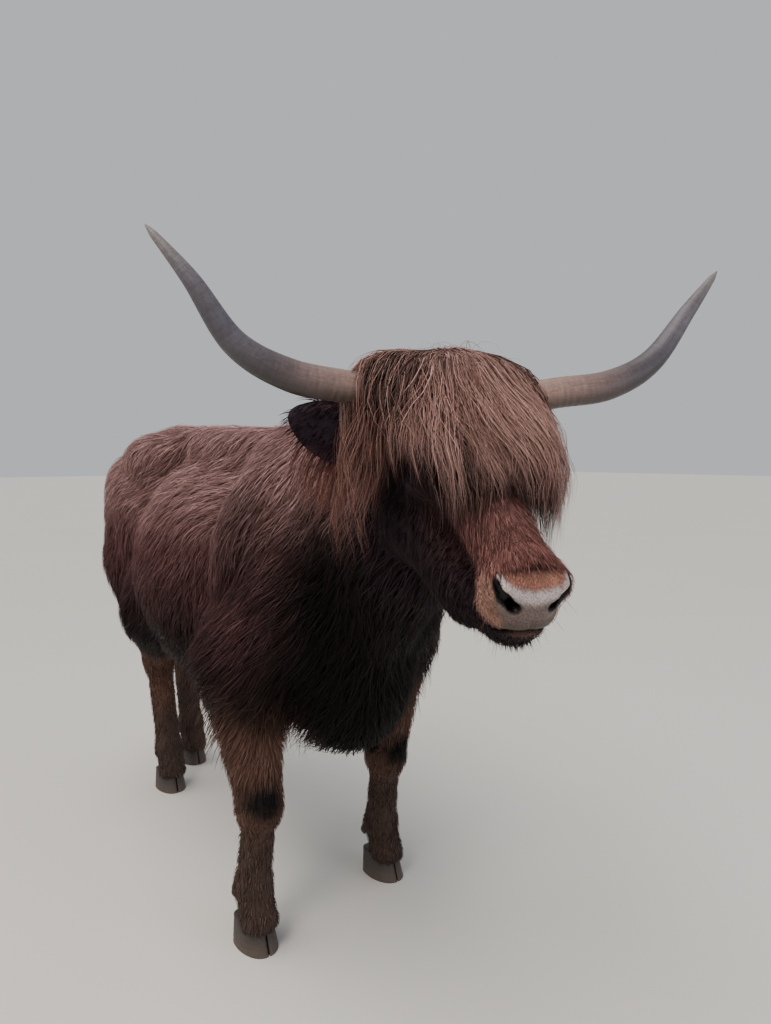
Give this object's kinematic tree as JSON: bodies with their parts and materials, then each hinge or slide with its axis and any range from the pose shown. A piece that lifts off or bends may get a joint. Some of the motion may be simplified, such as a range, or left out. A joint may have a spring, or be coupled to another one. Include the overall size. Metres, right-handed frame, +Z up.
{
  "type": "highland cow",
  "caption": "Life-size standing highland cow, shaggy reddish brown coat, long forelock over the eyes, wide upswept horns, head turned a little to its right.",
  "frame": {"origin": "on the floor, under the middle of the cow's overall box", "axes": "+Z up, the cow's hindquarters towards +Y and its head towards -Y, its left side towards +X"},
  "size_m": [0.9168, 2.1558, 1.4515],
  "materials": {
    "coat": "matte",
    "long_hair": "satin",
    "horn": "satin",
    "hoof": "matte",
    "eye": "gloss"
  },
  "bodies": {
    "root": {"dewclaw_fore_left_inner": "hoof", "dewclaw_fore_left_outer": "hoof", "dewclaw_fore_right_inner": "hoof", "dewclaw_fore_right_outer": "hoof", "dewclaw_hind_left_inner": "hoof", "dewclaw_hind_left_outer": "hoof", "dewclaw_hind_right_inner": "hoof", "dewclaw_hind_right_outer": "hoof", "ear_left": "coat", "ear_right": "coat", "eye_left": "eye", "eye_right": "eye", "foreleg_left": "coat", "foreleg_right": "coat", "forelock": "long_hair", "head": "coat", "hindleg_left": "coat", "hindleg_right": "coat", "hoof_fore_left_inner": "hoof", "hoof_fore_left_outer": "hoof", "hoof_fore_right_inner": "hoof", "hoof_fore_right_outer": "hoof", "hoof_hind_left_inner": "hoof", "hoof_hind_left_outer": "hoof", "hoof_hind_right_inner": "hoof", "hoof_hind_right_outer": "hoof", "horn_left": "horn", "horn_right": "horn", "neck": "coat", "tail": "coat", "tail_switch": "long_hair", "trunk": "coat"}
  },
  "joints": []
}
